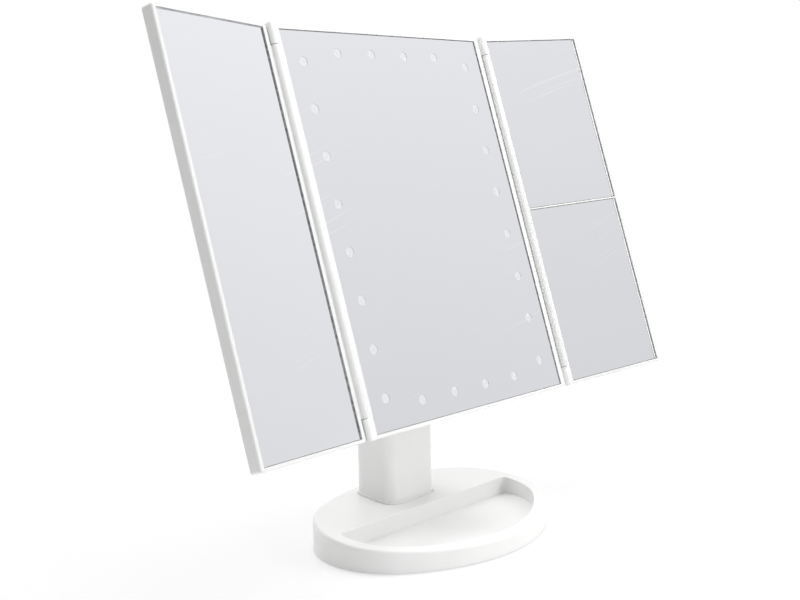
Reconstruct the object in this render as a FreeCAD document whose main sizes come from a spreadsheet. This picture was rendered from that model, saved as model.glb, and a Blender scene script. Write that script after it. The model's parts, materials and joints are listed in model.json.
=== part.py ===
"""Trifold vanity mirror: a lit centre mirror, two folding wings, a battery column and a tray base.

Frame: +Z up, +X to the right of the person at the mirror, +Y to the back, millimetres.
The origin is on the table under the middle of the base.
Panel pieces are drawn in the panel's own frame: x to the right, y up the glass, z out of the
glass towards the person, with z = 0 on the mirror face. Wing pieces use the same axes, with
x = 0 on their hinge axis.
"""
import FreeCAD, Part
import math
import os
import re
import Sketcher
from FreeCAD import Rotation, Vector

os.makedirs("parts", exist_ok=True)
doc = FreeCAD.newDocument("TrifoldVanityMirror")

# --- driving sizes -------------------------------------------------------------------------

sizes = {
    # mirrors and frames
    "mirrorHeight": 220.0,
    "centreWidth": 161.0,
    "wingWidth": 78.0,
    "frameRim": 2.2,
    "outerRim": 2.75,
    "centreReach": 6.4,         # centre glass edge to hinge axis
    "wingReach": 5.5,           # hinge axis to wing glass edge
    "lipHeight": 0.2,           # frame lip in front of the glass
    "glassThick": 2.0,
    "glassPlay": 0.15,
    "tapeThick": 0.5,
    "tapeWidth": 9.0,
    "tapeEnd": 14.0,            # tape stops this far from the glass ends
    "tapeSide": 26.0,           # tape starts this far from the glass sides
    "floorThick": 1.5,
    "frameBack": 7.1,           # mirror face to the frame's back edge
    "skirtWall": 1.8,
    "dividerWidth": 1.3,
    "frameRound": 1.1,
    "cornerRound": 1.6,
    # wing hinges
    "hingeLift": 0.8,           # hinge axis in front of the mirror face
    "barrelRadius": 2.2,
    "barrelGap": 0.4,
    "hingeGap": 0.25,           # side walls stop this far from the hinge axis
    "knuckleLength": 11.5,
    "knuckleGap": 0.4,
    "pinRadius": 1.0,
    "pinPlay": 0.05,
    "pinSeat": 0.02,
    "pinLength": 22.0,
    "pinEnd": 0.3,              # pins stop this far inside the knuckle ends
    "leftFold": 10.9,           # wings at rest, degrees forward of flat
    "rightFold": 9.6,
    # lights and switch
    "ledSide": 13.45,           # columns of lights, in from the glass sides
    "ledEnd": 11.85,            # rows of lights, in from the glass ends
    "columnLedEnd": 17.35,      # first and last light of a column, from the glass end
    "rowLedEnd": 40.45,         # first and last light of a row, from the glass side
    "ledHole": 2.4,
    "ledLong": 3.5,
    "ledWide": 2.8,
    "ledTall": 1.4,
    "boardThick": 1.0,
    "boardStrip": 10.0,
    "touchRise": 26.0,          # switch above the lower end of the glass
    "touchRadius": 6.0,
    "stemRadius": 1.5,
    "stemPlay": 0.2,
    "controlWidth": 44.0,
    "controlHeight": 16.0,
    "controlGap": 0.8,          # control board stands off the frame floor
    "chipTall": 1.2,
    # back of the centre panel
    "coverDepth": 6.0,
    "coverWall": 2.0,
    "coverInset": 0.3,
    "coverCorner": 3.0,
    "coverRound": 1.6,
    "coverLip": 1.5,
    "lipPlay": 0.15,
    "bossRadius": 3.0,
    "bossSide": 28.75,
    "bossEnd": 32.0,
    "postRadius": 4.2,
    "screwHead": 2.6,
    "screwHeadTall": 1.5,
    "screwShank": 1.15,
    "screwLength": 6.5,
    "screwPlay": 0.2,
    "wingPlate": 1.5,
    # tilt joint
    "axisForward": 4.4,         # tilt axis in front of the column's middle
    "tiltAngle": 17.3,          # panel leans back from upright, degrees
    "tiltDrop": 5.0,            # tilt axis below the panel's middle
    "tiltBack": 30.9,           # tilt axis behind the mirror face
    "drumRadius": 10.5,
    "drumHalf": 14.7,
    "drumWall": 2.5,
    "drumHollow": 8.0,
    "neckHollow": 7.3,
    "earGap": 0.6,
    "earThick": 6.0,
    "earRadius": 10.0,
    "bracketPlate": 2.5,
    "bracketWidth": 48.0,
    "bracketHeight": 38.0,
    "bracketScrewX": 9.0,
    "bracketScrewY": 14.0,
    "bracketRound": 4.0,
    "sleeveRadius": 4.0,
    "sleeveBore": 2.0,
    "sleevePlay": 0.05,
    "sleeveFlange": 5.5,
    "sleeveFlangeThick": 0.8,
    "sleeveReach": 1.7,         # sleeve goes this far into the ear
    "flangeGap": 0.1,
    "washerRadius": 7.0,
    "washerThick": 0.5,
    "capFlange": 6.0,
    "capThick": 0.8,
    "capPlug": 1.0,
    "leadRadius": 1.2,
    "leadBend": 2.5,
    "leadHole": 1.9,
    # column
    "columnWidth": 41.7,
    "columnDepth": 31.1,
    "columnBow": 0.9,
    "columnRound": 7.5,
    "columnWall": 2.0,
    "columnY": 33.8,
    "columnFloor": 23.5,
    "headClear": 2.55,
    "headPlate": 2.4,
    "headPlug": 7.0,
    "headRoom": 2.6,            # battery holder's top to the head's plug
    "plugPlay": 0.2,
    "headScrewX": 9.5,
    "flareGrow": 0.6,
    "flareHeight": 1.3,
    "seatDepth": 0.5,
    "seatPlay": 0.25,
    # battery holder and cells
    "cellRadius": 7.25,
    "cellLength": 50.5,
    "cellNub": 2.75,
    "cellNubTall": 1.5,
    "cellPlay": 0.1,
    "holderWall": 1.0,
    "holderLow": 35.5,
    "holderPlay": 0.6,          # holder's sides to the column's walls
    "holderFront": 26.7,
    "holderDepth": 16.0,
    "springTall": 3.0,
    "springRadius": 4.0,
    "springWire": 0.8,
    "contactThick": 0.5,
    "contactHalf": 4.5,
    # battery door
    "doorUnder": 1.5,           # door opening starts below the battery holder
    "doorShort": 0.5,           # and stops below the holder's top
    "doorHalf": 14.8,
    "doorPlay": 0.3,
    "doorWall": 1.8,
    "hookX": 8.0,
    "hookHalf": 2.0,
    "hookThick": 1.8,
    "hookDrop": 2.0,
    "hookSet": 4.4,             # hook's inner face, in from the door's outer face
    "gripPitch": 3.0,
    "gripWidth": 18.0,
    "gripDeep": 0.5,
    # power inlet
    "inletHalf": 3.75,
    "inletTall": 2.6,
    "inletDeep": 5.5,
    "inletSkin": 0.35,
    "inletPlay": 0.3,
    "inletBoardThick": 1.2,
    "inletBoardHalf": 9.0,
    "inletBoardDeep": 14.0,
    "inletPost": 1.0,
    "wireRadius": 0.8,
    # base
    "baseHalf": 80.3,
    "baseFront": 58.1,          # widest line to the front
    "baseBack": 52.7,           # widest line to the back
    "frontSide": 44.3,          # corner radius of the oval, front half
    "backSide": 47.5,           # corner radius of the oval, back half
    "baseHeight": 15.95,        # top of the base at its widest line
    "baseSlope": 5.0,           # top rises to the back, degrees
    "baseWall": 2.2,
    "baseRound": 1.6,
    "trayRim": 7.7,
    "trayBack": 7.8,
    "trayFloor": 5.75,
    "trayCorner": 3.0,
    "trayWall": 2.0,
    "trayRound": 0.5,
    "footTall": 0.8,
    "footSink": 1.0,
    "footRadius": 6.0,
    "footPlay": 0.1,
    "plateThick": 2.0,
    "platePlay": 0.2,
    "weightThick": 3.5,
    "weightInset": 2.0,
    "weightHole": 4.6,
    "baseBoss": 3.6,
    "columnBossLow": 10.0,
    "columnScrewX": 11.0,
    "columnScrewY": 7.0,
}

# places and levels worked out from the sizes
places = {
    "frameHalf": "mirrorHeight / 2 + frameRim",
    "axisX": "centreWidth / 2 + centreReach",
    "notch": "barrelRadius + barrelGap",
    "notchLevel": "hingeLift - notch",
    "wingEdge": "wingReach + wingWidth + outerRim",
    "barrelHalf": "frameHalf - knuckleLength - knuckleGap",
    "pocketLevel": "-(glassThick + tapeThick)",
    "floorLevel": "pocketLevel - floorThick",
    "controlLevel": "floorLevel - controlGap",
    "plateLevel": "wingPlate - frameBack",
    "coverLevel": "-(frameBack + coverDepth)",
    "coverInside": "coverLevel + coverWall",
    "postLevel": "coverInside + coverWall",
    "bracketLevel": "coverLevel - bracketPlate",
    "earNear": "drumHalf + earGap",
    "earFar": "earNear + earThick",
    "leadX": "earNear + earThick / 2",
    "leadMeet": "earNear + leadRadius / 3",
    "ledColumnX": "centreWidth / 2 - ledSide",
    "ledRowY": "mirrorHeight / 2 - ledEnd",
    "columnPitch": "(mirrorHeight - 2 * columnLedEnd) / 7",
    "rowPitch": "(centreWidth - 2 * rowLedEnd) / 3",
    "touchY": "mirrorHeight / 2 - touchRise",
    "bossX": "centreWidth / 2 - bossSide",
    "bossY": "mirrorHeight / 2 - bossEnd",
    "holderHalf": "columnWidth / 2 - columnWall - holderPlay",
    "cellX": "(holderHalf - holderWall) / 2",
    "bayTall": "springTall + cellLength + contactThick",
    "holderHigh": "holderLow + 3 * holderWall + 2 * bayTall",
    "doorLow": "holderLow - doorUnder",
    "doorHigh": "holderHigh - doorShort",
    "plugLow": "holderHigh + headRoom",
    "columnTop": "plugLow + headPlug",
    "axisHeight": "columnTop + headPlate + headClear + earRadius",
    "axisY": "columnY - axisForward",
    "panelY": "axisY + tiltDrop * sin(tiltAngle) - tiltBack * cos(tiltAngle)",
    "panelZ": "axisHeight + tiltDrop * cos(tiltAngle) + tiltBack * sin(tiltAngle)",
    "columnBack": "columnY + columnDepth / 2",
    "wideY": "(baseFront - baseBack) / 2",
    "frontBig": "(baseHalf ^ 2 + baseFront ^ 2 - 2 * baseHalf * frontSide) / (2 * (baseFront - frontSide))",
    "backBig": "(baseHalf ^ 2 + baseBack ^ 2 - 2 * baseHalf * backSide) / (2 * (baseBack - backSide))",
    "cellY": "holderFront + holderWall + cellRadius + cellPlay",
    "inletLevel": "columnFloor + inletPost + inletBoardThick",
    "plateHigh": "footTall + plateThick",
}

sheets = {"Sizes": sizes, "Places": places}


def bound(text):
    """Expression on plain size names, with each name bound to its sheet."""
    def prefix(match):
        word = match.group()
        owner = next((name for name, cells in sheets.items() if word in cells), None)
        return f"{owner}.{word}" if owner else word
    return re.sub(r"[A-Za-z]\w*", prefix, text)


def fillSheet(name, cells):
    sheet = doc.addObject("Spreadsheet::Sheet", name)
    for row, (alias, content) in enumerate(cells.items(), start=1):
        sheet.set(f"A{row}", alias)
        sheet.set(f"B{row}", f"={bound(content)}" if isinstance(content, str) else str(content))
        sheet.setAlias(f"B{row}", alias)
    doc.recompute()
    return sheet


sizeSheet = fillSheet("Sizes", sizes)
fillSheet("Places", places)


def value(text):
    return float(sizeSheet.evalExpression(bound(text)))


# --- drawing helpers -----------------------------------------------------------------------

pieces = {}


def bind(item, prop, text):
    item.setExpression(prop, bound(text))


def arcBetween(start, end, radius):
    """Anticlockwise arc from start to end, less than a half turn."""
    chord = end - start
    middle = (start + end) * 0.5
    inward = Vector(-chord.y, chord.x, 0).normalize()
    centre = middle + inward * math.sqrt(radius ** 2 - chord.Length ** 2 / 4)
    angles = [math.atan2(point.y - centre.y, point.x - centre.x) for point in (start, end)]
    return Part.ArcOfCircle(Part.Circle(centre, Vector(0, 0, 1), radius), *angles)


def constrain(sketch, kind, where, text):
    index = sketch.addConstraint(Sketcher.Constraint(kind, *where, value(text)))
    bind(sketch, f"Constraints[{index}]", text)


def outline(corners, radii=None):
    """Closed outline through anticlockwise corners; a radius bows the side after its corner."""
    radii = radii or [None] * len(corners)

    def draw(sketch):
        first = sketch.GeometryCount
        points = [Vector(value(x), value(y), 0) for x, y in corners]
        following = points[1:] + points[:1]
        for start, end, radius in zip(points, following, radii):
            side = arcBetween(start, end, value(radius)) if radius else Part.LineSegment(start, end)
            sketch.addGeometry(side)
        for k, ((x, y), radius) in enumerate(zip(corners, radii)):
            side = first + k
            after = first + (k + 1) % len(corners)
            sketch.addConstraint(Sketcher.Constraint("Coincident", side, 2, after, 1))
            constrain(sketch, "DistanceX", (-1, 1, side, 1), x)
            constrain(sketch, "DistanceY", (-1, 1, side, 1), y)
            if radius:
                constrain(sketch, "Radius", (side,), radius)
    return draw


def rectangle(left, low, right, high):
    return outline([(left, low), (right, low), (right, high), (left, high)])


def centred(halfWidth, halfHeight, x="0", y="0"):
    return rectangle(f"{x} - ({halfWidth})", f"{y} - ({halfHeight})",
                     f"{x} + ({halfWidth})", f"{y} + ({halfHeight})")


def circle(x, y, radius):
    def draw(sketch):
        centre = Vector(value(x), value(y), 0)
        side = sketch.addGeometry(Part.Circle(centre, Vector(0, 0, 1), value(radius)))
        constrain(sketch, "DistanceX", (-1, 1, side, 3), x)
        constrain(sketch, "DistanceY", (-1, 1, side, 3), y)
        constrain(sketch, "Radius", (side,), radius)
    return draw


def bowedBlock(inset):
    """Column section, each face bowed out; inset shrinks it on all sides."""
    halfX = f"(columnWidth / 2 - ({inset}))"
    halfY = f"(columnDepth / 2 - ({inset}))"
    x = f"({halfX} - columnBow)"
    y = f"({halfY} - columnBow)"
    bowX = f"({y} ^ 2 + columnBow ^ 2) / (2 * columnBow)"
    bowY = f"({x} ^ 2 + columnBow ^ 2) / (2 * columnBow)"
    corners = [(f"-{x}", f"columnY - {y}"), (x, f"columnY - {y}"),
               (x, f"columnY + {y}"), (f"-{x}", f"columnY + {y}")]
    return outline(corners, [bowY, bowX, bowY, bowX])


def ovalPoints(inset, side, big, depth, sign):
    """Where the end arc meets the long arc, on the right: sign is -1 in front, 1 behind."""
    share = f"({side} - ({inset})) / ({big} - {side})"
    x = f"(baseHalf - {side}) + {share} * (baseHalf - {side})"
    y = f"wideY + ({sign}) * {share} * ({big} - {depth})"
    return x, y


def oval(inset):
    """Base outline, pulled in by inset: six arcs, tangent to one another."""
    half = f"baseHalf - ({inset})"
    frontX, frontY = ovalPoints(inset, "frontSide", "frontBig", "baseFront", "-1")
    backX, backY = ovalPoints(inset, "backSide", "backBig", "baseBack", "1")
    corners = [(half, "wideY"), (backX, backY), (f"-({backX})", backY),
               (f"-({half})", "wideY"), (f"-({frontX})", frontY), (frontX, frontY)]
    radii = [f"{name} - ({inset})" for name in
             ("backSide", "backBig", "backSide", "frontSide", "frontBig", "frontSide")]
    return outline(corners, radii)


def trayOutline(inset, back):
    """The oval pulled in by inset, cut straight across at y = back."""
    half = f"baseHalf - ({inset})"
    cut = f"(baseHalf - backSide + sqrt((backSide - ({inset})) ^ 2 - ({back} - wideY) ^ 2))"
    frontX, frontY = ovalPoints(inset, "frontSide", "frontBig", "baseFront", "-1")
    corners = [(cut, back), (f"-{cut}", back), (f"-({half})", "wideY"),
               (f"-({frontX})", frontY), (frontX, frontY), (half, "wideY")]
    radii = [None] + [f"{name} - ({inset})" for name in
                      ("backSide", "frontSide", "frontBig", "frontSide", "backSide")]
    return outline(corners, radii)


def slopeWedge(rise, up):
    """Side view of all that lies above (up = 1) or below (up = -1) the base top moved by rise."""
    reach = "2 * baseHalf"
    far = f"wideY + ({up}) * {reach}"
    near = f"wideY - ({up}) * {reach}"
    level = f"baseHeight + ({rise})"
    lean = f"{reach} * tan(baseSlope)"
    beyond = f"{level} + ({up}) * (baseHalf + columnTop)"
    return outline([(near, f"{level} - ({up}) * {lean}"), (far, f"{level} + ({up}) * {lean}"),
                    (far, beyond), (near, beyond)])


def newBody(label):
    body = doc.addObject("PartDesign::Body", label)
    return body


def newSketch(body, drawings, role, offset):
    sketch = body.newObject("Sketcher::SketchObject", f"{body.Name}Sketch")
    plane = next(item for item in body.Origin.OriginFeatures if item.Role == role)
    sketch.AttachmentSupport = [(plane, "")]
    sketch.MapMode = "FlatFace"
    bind(sketch, "AttachmentOffset.Base.z", offset)
    for draw in drawings:
        draw(sketch)
    return sketch


def feature(body, kind, sketch, length):
    item = body.newObject(f"PartDesign::{kind}", f"{body.Name}{kind}")
    item.Profile = sketch
    bind(item, "Length", length)
    body.Tip = item
    return item


def add(body, low, high, *drawings, role="XY_Plane"):
    """Material between two levels, measured along +X, +Y or +Z."""
    offset = f"-({high})" if role == "XZ_Plane" else low
    return feature(body, "Pad", newSketch(body, drawings, role, offset), f"({high}) - ({low})")


def cut(body, low, high, *drawings, role="XY_Plane"):
    """Room between two levels, measured along +X, +Y or +Z."""
    offset = f"-({low})" if role == "XZ_Plane" else high
    return feature(body, "Pocket", newSketch(body, drawings, role, offset), f"({high}) - ({low})")


def roundEdges(body, radius, chosen):
    doc.recompute()
    base = body.Tip
    names = [f"Edge{k}" for k, edge in enumerate(base.Shape.Edges, start=1) if chosen(edge)]
    item = body.newObject("PartDesign::Fillet", f"{body.Name}Fillet")
    item.Base = (base, names)
    bind(item, "Radius", radius)
    body.Tip = item


def runsAlong(edge, axis):
    """True for a straight edge along the axis, 0 to 2 for x to z."""
    box = edge.BoundBox
    spans = [box.XLength, box.YLength, box.ZLength]
    return spans[axis] > 0.01 and all(span < 0.01 for k, span in enumerate(spans) if k != axis)


def near(number, text):
    return abs(number - value(text)) < 0.01


def turned(label, corners):
    """Body turned about its own x axis from an outline of (x, radius) corners."""
    body = newBody(label)
    sketch = newSketch(body, [outline(corners)], "XY_Plane", "0")
    item = body.newObject("PartDesign::Revolution", f"{label}Revolution")
    item.Profile = sketch
    item.ReferenceAxis = (sketch, ["H_Axis"])
    item.Angle = 360
    body.Tip = item
    return body


def moved(item, x="0", y="0", z="0", rotation=Rotation()):
    item.Placement.Rotation = rotation
    for axis, text in zip("xyz", (x, y, z)):
        bind(item, f"Placement.Base.{axis}", text)
    return item


def rod(radius, length, x, y, z):
    item = doc.addObject("Part::Cylinder", "rod")
    bind(item, "Radius", radius)
    bind(item, "Height", length)
    return moved(item, x, y, z)


def block(width, depth, height, x, y, z):
    """Box with x, y at its middle and z at its bottom."""
    item = doc.addObject("Part::Box", "block")
    for prop, text in zip(("Length", "Width", "Height"), (width, depth, height)):
        bind(item, prop, text)
    return moved(item, f"{x} - ({width}) / 2", f"{y} - ({depth}) / 2", z)


def combined(kind, base, tool):
    item = doc.addObject(f"Part::{kind}", kind.lower())
    item.Base = base
    item.Tool = tool
    return item


def screw(x, y, z, rotation=Rotation(), length="screwLength"):
    """Pan-head screw: its cross-slotted head starts at the given place, its shank points along +Z."""
    head = rod("screwHead", "screwHeadTall", "0", "0", "0")
    shank = rod("screwShank", f"{length} + screwHeadTall / 2", "0", "0", "screwHeadTall / 2")
    slots = [block(f"screwHead * {long}", f"screwHead * {wide}", "screwHeadTall / 2", "0", "0", "0")
             for long, wide in ((1.2, 0.25), (0.25, 1.2))]
    cross = combined("Fuse", *slots)
    return moved(combined("Cut", combined("Fuse", head, shank), cross), x, y, z, rotation)


def gathered(label, items):
    group = doc.addObject("Part::Compound", label)
    group.Links = items
    return group


def tube(label, points, radius, bend):
    """Round lead along straight runs joined by tangent arcs."""
    item = doc.addObject("Part::Feature", label)
    edges = []
    last = points[0]
    for before, corner, after in zip(points, points[1:], points[2:]):
        inward = (before - corner).normalize()
        outward = (after - corner).normalize()
        start = corner + inward * bend
        end = corner + outward * bend
        middle = corner + (inward + outward) * bend * (1 - math.sqrt(0.5))
        edges += [Part.LineSegment(last, start).toShape(), Part.Arc(start, middle, end).toShape()]
        last = end
    edges.append(Part.LineSegment(last, points[-1]).toShape())
    profile = Part.Wire(Part.makeCircle(radius, points[0], points[1] - points[0]))
    item.Shape = Part.Wire(edges).makePipeShell([profile], True, False)
    return item


def keep(item, placement=None):
    """Register a finished piece; its label is its node's name."""
    pieces[item.Label] = item
    if placement:
        bind(item, "Placement", placement)
    return item


panelPlace = ("placement(vector(0; panelY; panelZ); rotation(vector(1; 0; 0); 90 - tiltAngle))")


def wingPlace(side):
    """Panel frame moved to the hinge axis, then turned by the wing's rest angle."""
    turn = "-rightFold" if side > 0 else "leftFold"
    return (f"{panelPlace} * placement(vector({side} * axisX; 0; hingeLift);"
            f" rotation(vector(0; 1; 0); {turn}))"
            " * placement(vector(0; 0; -hingeLift); rotation(vector(0; 0; 1); 0))")


def outward(side, start, end):
    """Span from start to end on the wing's own side, as (low, high)."""
    return (start, end) if side > 0 else (f"-({end})", f"-({start})")


# --- base ----------------------------------------------------------------------------------

footSpots = [(f"{side} * baseHalf * 0.6", y) for side in (-1, 1)
             for y in ("-baseFront * 0.42", "baseBack * 0.66")]
baseBossSpots = [(f"{side} * baseHalf * {across}", f"baseBack * {back}")
                 for side in (-1, 1) for across, back in ((0.73, 0.36), (0.36, 0.8))]
columnScrewSpots = [(f"{side} * columnScrewX", f"columnY + ({end}) * columnScrewY")
                    for side in (-1, 1) for end in (-1, 1)]


def baseShell():
    """Oval cover with a sloping top, the sunk tray, and screw bosses underneath."""
    top = "2 * baseHeight"
    outer = newBody("baseOuter")
    add(outer, "footTall", top, oval("0"))
    cut(outer, "-2 * baseHalf", "2 * baseHalf", slopeWedge("0", 1), role="YZ_Plane")
    cut(outer, "trayFloor", top, trayOutline("trayRim", "trayBack"))
    roundEdges(outer, "trayCorner", lambda edge: runsAlong(edge, 2)
               and near(edge.BoundBox.YMax, "trayBack"))
    roundEdges(outer, "baseRound", lambda edge: atTop(edge) and outside(edge, "trayRim / 2"))
    roundEdges(outer, "trayRound", lambda edge: atTop(edge) and not outside(edge, "trayRim / 2"))
    seat = newBody("columnSeat")
    add(seat, "trayFloor", top, bowedBlock("-(flareGrow + seatPlay)"))
    roundEdges(seat, "columnRound + seatPlay", lambda edge: runsAlong(edge, 2))
    cut(seat, "-2 * baseHalf", "2 * baseHalf", slopeWedge("-seatDepth", -1), role="YZ_Plane")
    cavity = newBody("baseCavity")
    add(cavity, "0", top, oval("baseWall"))
    cut(cavity, "-2 * baseHalf", "2 * baseHalf", slopeWedge("-baseWall", 1), role="YZ_Plane")
    cut(cavity, "trayFloor - trayWall", top,
        trayOutline("trayRim - trayWall", "trayBack + trayWall"))
    bosses = [circle(x, y, "baseBoss") for x, y in baseBossSpots]
    cut(cavity, "plateHigh", top, *bosses)
    columnBosses = [circle(x, y, "baseBoss") for x, y in columnScrewSpots]
    cut(cavity, "columnBossLow", top, *columnBosses)
    hollow = combined("Cut", combined("Cut", outer, cavity), seat)
    holes = [rod("screwShank", "screwLength", x, y, "plateHigh") for x, y in baseBossSpots]
    holes += [rod("screwShank + screwPlay", "baseHeight", x, y, "columnBossLow")
              for x, y in columnScrewSpots]
    shell = combined("Cut", hollow, gathered("baseHoles", holes))
    shell.Label = "base_shell"
    keep(shell)


def atTop(edge):
    """True for an edge that lies in the sloping top of the base."""
    slope = math.tan(math.radians(value("baseSlope")))
    level = value("baseHeight")
    return all(abs(point.z - level - slope * (point.y - value("wideY"))) < 0.05
               for point in edge.discretize(3))


def outside(edge, margin):
    """True for an edge whose middle is beyond the oval pulled in by a margin."""
    point = edge.discretize(3)[1]
    depth = value("baseFront" if point.y < value("wideY") else "baseBack")
    x = point.x / (value("baseHalf") - value(margin))
    y = (point.y - value("wideY")) / (depth - value(margin))
    return x * x + y * y > 1


def baseUnderside():
    """Bottom plate, its feet and screws, and the steel weight that steadies the mirror."""
    plate = newBody("base_plate")
    add(plate, "footTall", "plateHigh", oval("baseWall + platePlay"))
    cut(plate, "footTall", "footTall + footSink",
        *[circle(x, y, "footRadius + footPlay") for x, y in footSpots])
    cut(plate, "footTall", "footTall + screwHeadTall",
        *[circle(x, y, "screwHead + screwPlay") for x, y in baseBossSpots])
    cut(plate, "footTall", "plateHigh",
        *[circle(x, y, "screwShank + screwPlay") for x, y in baseBossSpots])
    keep(plate)
    feet = [rod("footRadius", "footTall + footSink", x, y, "0") for x, y in footSpots]
    keep(gathered("rubber_feet", feet))
    screws = [screw(x, y, "footTall") for x, y in baseBossSpots]
    keep(gathered("base_screws", screws))
    weight = newBody("base_weight")
    inset = "baseWall + weightInset"
    add(weight, "plateHigh", "plateHigh + weightThick", oval(inset))
    cut(weight, "plateHigh", "plateHigh + weightThick",
        rectangle("-2 * baseHalf", "-2 * baseHalf", "2 * baseHalf",
                  "trayBack + trayWall + weightInset"))
    cut(weight, "plateHigh", "plateHigh + weightThick",
        *[circle(x, y, "weightHole") for x, y in baseBossSpots])
    keep(weight)


# --- column --------------------------------------------------------------------------------

def columnShell():
    """Rounded square tube on a flared foot, open at the back for the battery door."""
    body = newBody("column_shell")
    low = "baseHeight / 2"
    add(body, low, "2 * baseHeight", bowedBlock("-flareGrow"))
    roundEdges(body, "columnRound", lambda edge: runsAlong(edge, 2))
    cut(body, "-columnWidth", "columnWidth", slopeWedge("flareHeight", 1), role="YZ_Plane")
    tower = newBody("columnTower")
    add(tower, low, "columnTop", bowedBlock("0"))
    roundEdges(tower, "columnRound", lambda edge: runsAlong(edge, 2))
    join = body.newObject("PartDesign::Boolean", "columnJoin")
    join.Type = "Fuse"
    join.addObject(tower)
    body.Tip = join
    cut(body, "-columnWidth", "columnWidth", slopeWedge("-seatDepth", -1), role="YZ_Plane")
    core = newBody("columnCore")
    add(core, "columnFloor", "columnTop + headPlate", bowedBlock("columnWall"))
    roundEdges(core, "columnRound - columnWall", lambda edge: runsAlong(edge, 2))
    posts = [centred("inletPost", "inletPost", x, f"columnBack - columnWall - {y}")
             for x in ("-inletBoardHalf / 2", "inletBoardHalf / 2")
             for y in ("inletBoardDeep / 3", "inletBoardDeep * 0.8")]
    cut(core, "columnFloor", "columnFloor + inletPost", *posts)
    take = body.newObject("PartDesign::Boolean", "columnHollow")
    take.Type = "Cut"
    take.addObject(core)
    body.Tip = take
    cut(body, "columnY", "2 * columnBack",
        rectangle("-doorHalf - doorPlay", "doorLow", "doorHalf + doorPlay", "doorHigh"),
        centred("inletHalf + inletPlay", "inletTall / 2 + inletPlay", "0",
                "inletLevel + inletTall / 2"), role="XZ_Plane")
    cut(body, low, "columnFloor", *[circle(x, y, "screwShank") for x, y in columnScrewSpots])
    screwHoles = [f"({side}) * headScrewX" for side in (-1, 1)]
    cut(body, "columnY", "2 * columnBack",
        *[circle(x, "columnTop - headPlug / 2", "screwShank + screwPlay") for x in screwHoles],
        role="XZ_Plane")
    cut(body, "columnBack - screwHeadTall", "2 * columnBack",
        *[circle(x, "columnTop - headPlug / 2", "screwHead + screwPlay") for x in screwHoles],
        role="XZ_Plane")
    keep(body)
    screws = [screw(x, y, "columnBossLow - screwHeadTall", length="screwLength * 2")
              for x, y in columnScrewSpots]
    keep(gathered("column_screws", screws))


def columnHead():
    """Cap of the column with the hollow drum that the panel tilts on."""
    body = newBody("column_head")
    add(body, "columnTop", "columnTop + headPlate", bowedBlock("0"))
    roundEdges(body, "columnRound", lambda edge: runsAlong(edge, 2))
    roundEdges(body, "headPlate / 3", lambda edge: near(edge.BoundBox.ZMin, "columnTop + headPlate"))
    plug = newBody("headPlugBody")
    add(plug, "plugLow", "columnTop + headPlate / 2", bowedBlock("columnWall + plugPlay"))
    roundEdges(plug, "columnRound - columnWall", lambda edge: runsAlong(edge, 2))
    join = body.newObject("PartDesign::Boolean", "headJoin")
    join.Type = "Fuse"
    join.addObject(plug)
    body.Tip = join
    add(body, "columnTop", "axisHeight", centred("drumHalf", "drumRadius", "0", "axisY"))
    add(body, "-drumHalf", "drumHalf", circle("axisY", "axisHeight", "drumRadius"), role="YZ_Plane")
    inner = "drumHalf - drumWall"
    cut(body, f"-({inner})", inner, circle("axisY", "axisHeight", "drumHollow"), role="YZ_Plane")
    cut(body, "plugLow", "axisHeight", centred(inner, "neckHollow", "0", "axisY"))
    cut(body, "-drumHalf", "drumHalf", circle("axisY", "axisHeight", "sleeveRadius + sleevePlay"),
        role="YZ_Plane")
    holes = [circle(f"({side}) * headScrewX", "columnTop - headPlug / 2", "screwShank")
             for side in (-1, 1)]
    cut(body, "columnY", "columnBack", *holes, role="XZ_Plane")
    keep(body)
    backward = Rotation(Vector(1, 0, 0), 90)
    screws = [screw(f"({side}) * headScrewX", "columnBack", "columnTop - headPlug / 2", backward)
              for side in (-1, 1)]
    keep(gathered("head_screws", screws))


def batteries():
    """Open-backed holder with four cells in two bays, their springs and contact plates."""
    holder = newBody("battery_holder")
    back = "holderFront + holderDepth"
    add(holder, "holderLow", "holderHigh",
        rectangle("-holderHalf", "holderFront", "holderHalf", back))
    bays = [f"holderLow + holderWall + {k} * (bayTall + holderWall)" for k in (0, 1)]
    for bay in bays:
        cut(holder, bay, f"{bay} + bayTall",
            rectangle("-holderHalf + holderWall", "holderFront + holderWall",
                      "holderHalf - holderWall", f"{back} + 1"))
    keep(holder)
    cells = []
    springs = []
    plates = []
    for bay in bays:
        for side in (-1, 1):
            x = f"{side} * cellX"
            can = rod("cellRadius", "cellLength - cellNubTall", x, "cellY", f"{bay} + springTall")
            nub = rod("cellNub", "cellLength", x, "cellY", f"{bay} + springTall")
            cells.append(combined("Fuse", can, nub))
            coil = rod("springRadius", "springTall", x, "cellY", bay)
            bore = rod("springRadius - springWire", "springTall", x, "cellY", bay)
            springs.append(combined("Cut", coil, bore))
            plates.append(block("2 * contactHalf", "2 * contactHalf", "contactThick", x, "cellY",
                                f"{bay} + springTall + cellLength"))
    keep(gathered("aa_cells", cells))
    keep(gathered("contact_springs", springs))
    keep(gathered("contact_plates", plates))


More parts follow.
